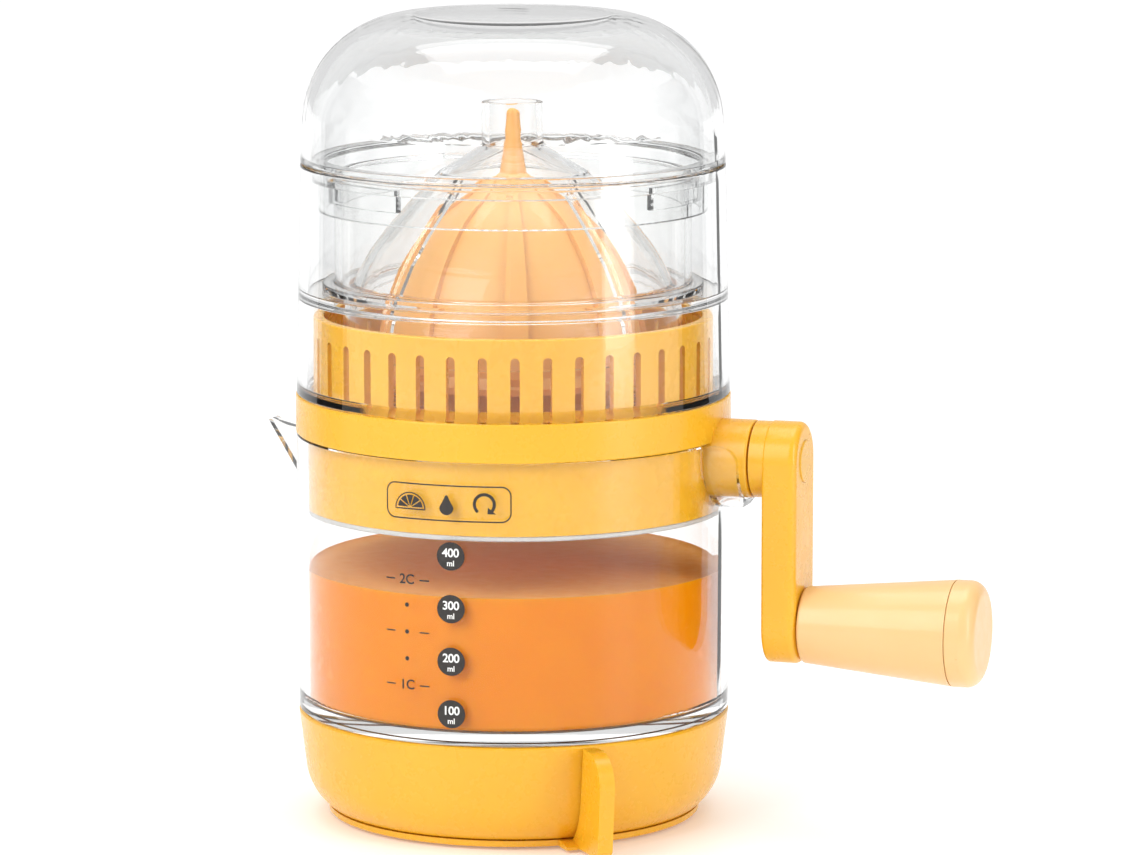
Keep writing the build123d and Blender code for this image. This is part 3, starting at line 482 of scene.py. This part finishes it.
def juice_profile():
    """Closed loop of (radius, z): a flat floor, a quarter circle, the tapered wall, and the top,
    z = line + climb * exp(-(R - r) / reach), which climbs the wall a little."""
    floor_z = cup_low + cup_floor + juice_gap
    low_in = cup_radius_low - cup_wall - juice_gap
    top_in = cup_radius(juice_line) - cup_wall - juice_gap
    floor_part = [(low_in * t, floor_z) for t in (0.0, 0.3, 0.6, 0.9)]
    round_part = [(low_in - floor_round * (1 - sin(a)), floor_z + floor_round * (1 - cos(a)))
                  for a in np.linspace(0.0, pi / 2, 9)]
    wall_part = [(low_in + (top_in - low_in) * t,
                  floor_z + floor_round + (juice_line - floor_z - floor_round) * t)
                 for t in (0.25, 0.5, 0.75)]
    inward = np.array((0.0, 0.2, 0.5, 0.9, 1.4, 2.2, 3.4, 6.0, 12.0, 25.0)) * MM
    top_part = list(zip(top_in - inward, juice_line + climb * np.exp(-inward / climb_reach)))
    return floor_part + round_part + wall_part + top_part + [(0.0, juice_line)]


juice = lathe("orange_juice", juice_profile(), 192)
dress(juice, juice_mat, "cup")
# second slot for the upward top faces: froth whose pale colour is partly painted light on the shaded
# top
juice.data.materials.append(froth_painted_light_mat)
for face in juice.data.polygons:
    if face.center.z > juice_line - 0.1 * MM and face.normal.z > 0.5:
        face.material_index = 1

# ------------------------------------------------------------------ printed scale
mark_u, spot_radius = 1.1 * MM, 3.42 * MM
marks = ((34.0 * MM, "100"), (46.7 * MM, "200"), (59.4 * MM, "300"), (72.1 * MM, "400"))
over_spot = film_thickness * 1.2
spots, numbers = [], []
for z, text in marks:
    spots.append(disc(f"spot_{text}", mark_u, z, spot_radius))
    numbers.append(word(f"number_{text}", text, mark_u, z + 0.75 * MM, 2.9 * MM, 0.95, over_spot))
    numbers.append(word(f"unit_{text}", "ml", mark_u, z - 1.75 * MM, 1.9 * MM, 1.0, over_spot))
dress(join("scale_spots", spots), ink, "cup")
dress(join("scale_numbers", numbers), white_ink, "cup")

cups_u = -10.2 * MM
one_cup, between, two_cups = 40.3 * MM, 53.2 * MM, 65.8 * MM
dash_half, dash_half_width = 1.25 * MM, 0.17 * MM
cup_marks = []
for z in (one_cup, between, two_cups):
    for u in (-14.7 * MM, -5.6 * MM):
        along, across = np.meshgrid(np.linspace(u - dash_half, u + dash_half, 5),
                                    (z - dash_half_width, z + dash_half_width))
        cup_marks.append(film("dash", np.stack([along, across], 2)))
cup_marks += [disc("dot", cups_u, z, 0.55 * MM, 3, 20) for z in (46.7 * MM, between, 59.7 * MM)]
cup_marks += [word("cups_1", "1C", cups_u, one_cup, 3.3 * MM),
              word("cups_2", "2C", cups_u, two_cups, 3.3 * MM)]
dress(join("scale_cups", cup_marks), ink, "cup")

# ------------------------------------------------------------------ plain badge
def half_slice(u0, z0, radius=3.9 * MM, line=0.3 * MM):
    """Half a slice of fruit: a rind line, and five segments, each a piece of a ring whose sides
    keep an even gap from their neighbours."""
    base = u0 - radius + 2 * radius * np.arange(1, 12) / 12
    rind = arc_points(u0, z0, radius, 0, 180, 36) + [(u, z0) for u in base]
    parts = [outline("rind", rind, line)]
    r = np.linspace(0.6, 3.25, 6)[:, None]
    turn = (18 - 4.5 * 1.9 / np.maximum(r, 1.0)) * (np.arange(7)[None, :] - 3) / 3
    for k in range(5):
        a = np.radians(36 * k + 18 + turn)
        parts.append(film(f"segment_{k}", np.stack([u0 + r * MM * np.cos(a),
                                                    z0 + 0.35 * MM + r * 0.93 * MM * np.sin(a)], 2)))
    return parts


def drop(u0, z0, radius=1.75 * MM):
    """Drop: a circle whose upper half is pulled up by 1 + 0.75 sin(a)^4 and narrowed by
    1 - 0.3 sin(a), so that it ends in a point."""
    a = 2 * pi * np.arange(40)[None, :] / 40
    share = np.maximum(np.arange(6), 0.02)[:, None] / 5
    rise = np.maximum(np.sin(a), 0)
    return film("drop", np.stack([u0 + radius * share * np.cos(a) * (1 - 0.3 * rise),
                                  z0 + radius * share * np.sin(a) * (1.0 + 0.75 * rise ** 4)], 2),
                closed=True)


def turning_arrow(u0, z0, inner=2.0 * MM, outer=2.75 * MM, head_half=1.25 * MM):
    """Three quarters of a ring from -40 to 230 degrees, and at its start a head that narrows
    to a point at -72 degrees."""
    ring = np.array([arc_points(u0, z0, r, -40, 230, 44) for r in (inner, outer)])
    half_width = np.array((head_half, 0.02 * MM))[:, None]
    r = (inner + outer) / 2 + half_width * (np.arange(5)[None, :] - 2) / 2
    a = np.radians((-40.0, -72.0))[:, None]
    head = np.stack([u0 + r * np.cos(a), z0 + r * np.sin(a)], 2)
    return [film("turn_ring", ring), film("turn_head", head)]


badge = [outline("badge_frame", round_box(-15.5 * MM, 15.6 * MM, 80.6 * MM, 89.0 * MM, 2.2 * MM),
                 0.34 * MM)]
badge += half_slice(-9.2 * MM, 82.9 * MM)
badge.append(drop(0.1 * MM, 83.7 * MM))
badge += turning_arrow(9.3 * MM, 84.8 * MM)
dress(join("badge", badge), ink, "cup")

# ------------------------------------------------------------------ stage, lights, camera
def plain_floor(reach=6.0, under=0.4 * MM):
    """Pale square floor just under the object. It glows a little, and more far out where the
    lamps don't reach, so it stays even."""
    mat, nt, bsdf = new_material("floor_look")
    bsdf.inputs["Base Color"].default_value = (0.93, 0.93, 0.93, 1)
    bsdf.inputs["Roughness"].default_value = 0.5
    place = nt.nodes.new("ShaderNodeTexCoord")
    away = nt.nodes.new("ShaderNodeVectorMath")
    away.operation = "LENGTH"
    nt.links.new(place.outputs["Object"], away.inputs[0])
    glow = nt.nodes.new("ShaderNodeMapRange")
    for title, value in (("From Min", 0.5), ("From Max", 1.6), ("To Min", 0.0), ("To Max", 1.0)):
        glow.inputs[title].default_value = value
    nt.links.new(away.outputs["Value"], glow.inputs["Value"])
    tone = nt.nodes.new("ShaderNodeMix")
    tone.data_type = "RGBA"
    tone.inputs["A"].default_value = (0.16, 0.16, 0.16, 1)
    tone.inputs["B"].default_value = (0.36, 0.36, 0.36, 1)
    nt.links.new(glow.outputs["Result"], tone.inputs["Factor"])
    nt.links.new(tone.outputs["Result"], bsdf.inputs["Emission Color"])
    bsdf.inputs["Emission Strength"].default_value = 1.0
    corners = [(-reach, -reach, -under), (reach, -reach, -under), (reach, reach, -under),
               (-reach, reach, -under)]
    floor = make_mesh("floor", corners, [(0, 1, 2, 3)], smooth=False)
    floor.data.materials.append(mat)


azimuth, pitch = radians(17.0), radians(9.2)
right = Vector((cos(azimuth), sin(azimuth), 0))
back = Vector((sin(azimuth), -cos(azimuth), 0))      # from the object towards the camera
up = Vector((0, 0, 1))
centre = Vector((0, 0, 0.1))


def soft_box(name, direction, distance, size, power):
    """Lamp aimed at the object's centre, with direction as (to the right, towards the camera, up)."""
    light = bpy.data.lights.new(name, "AREA")
    light.shape = "RECTANGLE"
    light.size, light.size_y = size
    light.energy = power
    obj = bpy.data.objects.new(name, light)
    bpy.context.scene.collection.objects.link(obj)
    way = (right * direction[0] + back * direction[1] + up * direction[2]).normalized()
    obj.location = centre + way * distance
    obj.rotation_euler = way.to_track_quat("Z", "Y").to_euler()


def dark_cards(aside=0.62, behind=0.25, middle_height=0.2, half_width=0.16, half_height=0.34):
    """A dark card on each side gives the clear walls their grey edges."""
    mat, nt, bsdf = new_material("card_look")
    bsdf.inputs["Base Color"].default_value = (0.10, 0.10, 0.105, 1)
    bsdf.inputs["Roughness"].default_value = 0.8
    for name, side in (("card_left", -1), ("card_right", 1)):
        middle = right * (aside * side) - back * behind + up * middle_height
        corners = [middle + back * (half_width * a) + up * (half_height * b)
                   for a, b in ((-1, -1), (1, -1), (1, 1), (-1, 1))]
        card = make_mesh(name, corners, [(0, 1, 2, 3)], smooth=False)
        card.data.materials.append(mat)
        card.visible_camera = False      # seen only in reflections and through the clear walls


def studio_world(strength=0.74):
    """Even white surroundings. Past the floor's edge a low view sees the same white as the floor."""
    world = bpy.data.worlds.new("studio")
    bpy.context.scene.world = world
    world.use_nodes = True
    tree = world.node_tree
    sky = tree.nodes["Background"]
    sky.inputs["Color"].default_value = (1, 1, 1, 1)
    sky.inputs["Strength"].default_value = strength
    white = tree.nodes.new("ShaderNodeBackground")
    white.inputs["Color"].default_value = (1, 1, 1, 1)
    seen = tree.nodes.new("ShaderNodeLightPath")
    either = tree.nodes.new("ShaderNodeMixShader")
    tree.links.new(seen.outputs["Is Camera Ray"], either.inputs["Fac"])
    tree.links.new(sky.outputs["Background"], either.inputs[1])
    tree.links.new(white.outputs["Background"], either.inputs[2])
    tree.links.new(either.outputs["Shader"], tree.nodes["World Output"].inputs["Surface"])


def place_camera(distance=1.432, aside=0.0138, height=0.0947):
    """Long lens that looks down at the object by the pitch, from the azimuth."""
    data = bpy.data.cameras.new("camera")
    data.sensor_width = 36.0
    data.lens = 185.24
    camera = bpy.data.objects.new("camera", data)
    bpy.context.scene.collection.objects.link(camera)
    view_back = back * cos(pitch) + up * sin(pitch)
    view_up = view_back.cross(right).normalized()
    basis = Matrix((right, view_up, view_back)).transposed().to_4x4()
    place = right * aside + up * height + view_back * distance
    camera.matrix_world = Matrix.Translation(place) @ basis
    bpy.context.scene.camera = camera


plain_floor()
soft_box("key", (-0.75, 0.75, 0.65), 0.95, (0.55, 0.75), 4.4)
soft_box("fill", (0.95, 0.6, 0.25), 1.1, (0.35, 0.9), 3.9)
soft_box("top", (0.0, -0.15, 1.0), 0.9, (0.8, 0.6), 4.0)
dark_cards()
studio_world()
place_camera()
bpy.context.scene.view_settings.view_transform = "Standard"
cycles = bpy.context.scene.cycles
cycles.max_bounces = 24
cycles.transmission_bounces = 24
cycles.glossy_bounces = 8
cycles.diffuse_bounces = 6
